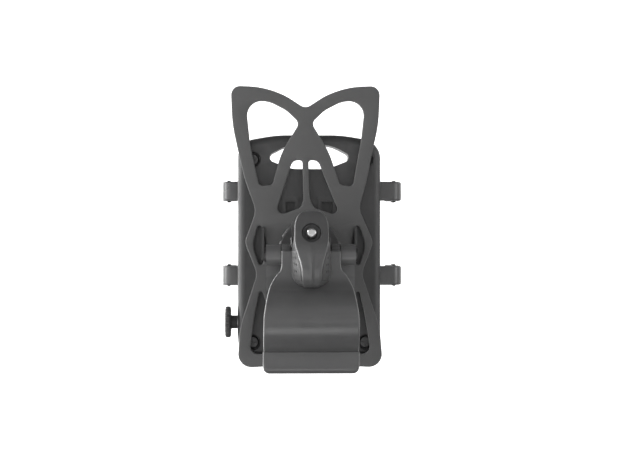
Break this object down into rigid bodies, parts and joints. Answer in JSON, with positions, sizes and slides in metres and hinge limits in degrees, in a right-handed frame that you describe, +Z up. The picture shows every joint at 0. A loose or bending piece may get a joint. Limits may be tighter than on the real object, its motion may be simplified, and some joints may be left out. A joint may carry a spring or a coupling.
{
  "type": "phone handlebar mount",
  "caption": "Spring clip for a handlebar, with a clamped ball joint, a rounded phone tray with sliding hooked side jaws, and an X-shaped silicone band.",
  "frame": {"origin": "on the handlebar's axis at the middle of the clip", "axes": "+X along the handlebar, +Y from the bar to the phone, +Z up; the clip's mouth opens towards -Z"},
  "size_m": [0.0814, 0.0745, 0.1248],
  "materials": {
    "moulded_nylon": "fine moulded grain",
    "jaw_plastic": "satin moulded",
    "silicone": "matte silicone",
    "soft_rubber": "matte",
    "steel": "zinc plated",
    "polished_steel": "polished",
    "brass": "machined",
    "acetal": "natural acetal"
  },
  "bodies": {
    "clip_base": {"front_jaw": "jaw_plastic", "front_pad": "soft_rubber", "ball_stud": "polished_steel", "hinge_pin": "steel", "pin_clips": "steel", "jaw_spring": "steel"},
    "rear_jaw": {"rear_jaw": "jaw_plastic", "rear_pad": "soft_rubber", "finger_lever": "jaw_plastic", "grip_inlays": "soft_rubber", "lock_rod": "steel"},
    "lock_foot": {"lock_foot": "acetal"},
    "lock_wheel": {"lock_wheel": "moulded_nylon"},
    "seat_rear": {"seat_rear": "acetal"},
    "seat_front": {"seat_front": "acetal"},
    "cradle": {"tray_back": "moulded_nylon", "tray_front": "moulded_nylon", "case_screws": "steel", "ball_socket": "moulded_nylon", "socket_screws": "steel", "band": "silicone", "phone_pad": "soft_rubber", "screw_bushes": "acetal", "guide_rods": "steel"},
    "ring_nut": {"ring_nut": "moulded_nylon"},
    "drive": {"lead_screw": "steel", "side_knob": "moulded_nylon"},
    "left_slider": {"left_jaw": "moulded_nylon", "left_nut": "brass", "left_hook_pads": "soft_rubber"},
    "right_slider": {"right_jaw": "moulded_nylon", "right_nut": "brass", "right_hook_pads": "soft_rubber"}
  },
  "joints": [
    {"name": "lock_wheel_spin", "type": "hinge", "parent": "lock_foot", "child": "lock_wheel", "pos_m": [0, -0.0143, 0.0359], "axis": [0, 0.9976, -0.0698], "range_deg": [0, 1800.5]},
    {"name": "lock_foot_slide", "type": "slide", "parent": "rear_jaw", "child": "lock_foot", "axis": [0, -0.9976, 0.0698], "range_m": [0, 0.00401]},
    {"name": "jaw_open", "type": "hinge", "parent": "clip_base", "child": "rear_jaw", "pos_m": [0, 0, 0.0265], "axis": [-1, 0, 0], "range_deg": [0, 25], "stiffness_Nm_per_rad": 0.2, "springref_deg": -40.11, "deforming": ["jaw_spring"]},
    {"name": "ball_tilt", "type": "hinge", "parent": "clip_base", "child": "seat_rear", "pos_m": [0, 0.0242, 0.028], "axis": [1, 0, 0], "range_deg": [-10, 10]},
    {"name": "ball_pan", "type": "hinge", "parent": "seat_rear", "child": "seat_front", "pos_m": [0, 0.0242, 0.028], "axis": [0, 0, 1], "range_deg": [-10, 10]},
    {"name": "ball_turn", "type": "hinge", "parent": "seat_front", "child": "cradle", "pos_m": [0, 0.0242, 0.028], "axis": [0, 1, 0], "continuous": true},
    {"name": "ring_nut_turn", "type": "hinge", "parent": "cradle", "child": "ring_nut", "pos_m": [0, 0.0242, 0.028], "axis": [0, 1, 0], "range_deg": [0, 90]},
    {"name": "knob_spin", "type": "hinge", "parent": "cradle", "child": "drive", "pos_m": [0, 0.038, -0.0043], "axis": [1, 0, 0], "range_deg": [-403.5, 1368.5]},
    {"name": "left_jaw_slide", "type": "slide", "parent": "cradle", "child": "left_slider", "axis": [-1, 0, 0], "range_m": [-0.0028, 0.0095]},
    {"name": "right_jaw_slide", "type": "slide", "parent": "cradle", "child": "right_slider", "axis": [1, 0, 0], "range_m": [-0.00281, 0.00951]}
  ],
  "couplings": [
    {"joint": "lock_foot_slide", "follows": "jaw_open", "m_per_rad": 0.0091673},
    {"joint": "lock_wheel_spin", "follows": "jaw_open", "ratio": 72},
    {"joint": "right_jaw_slide", "follows": "left_jaw_slide", "ratio": 1},
    {"joint": "knob_spin", "follows": "left_jaw_slide", "rad_per_m": 2513.3}
  ]
}
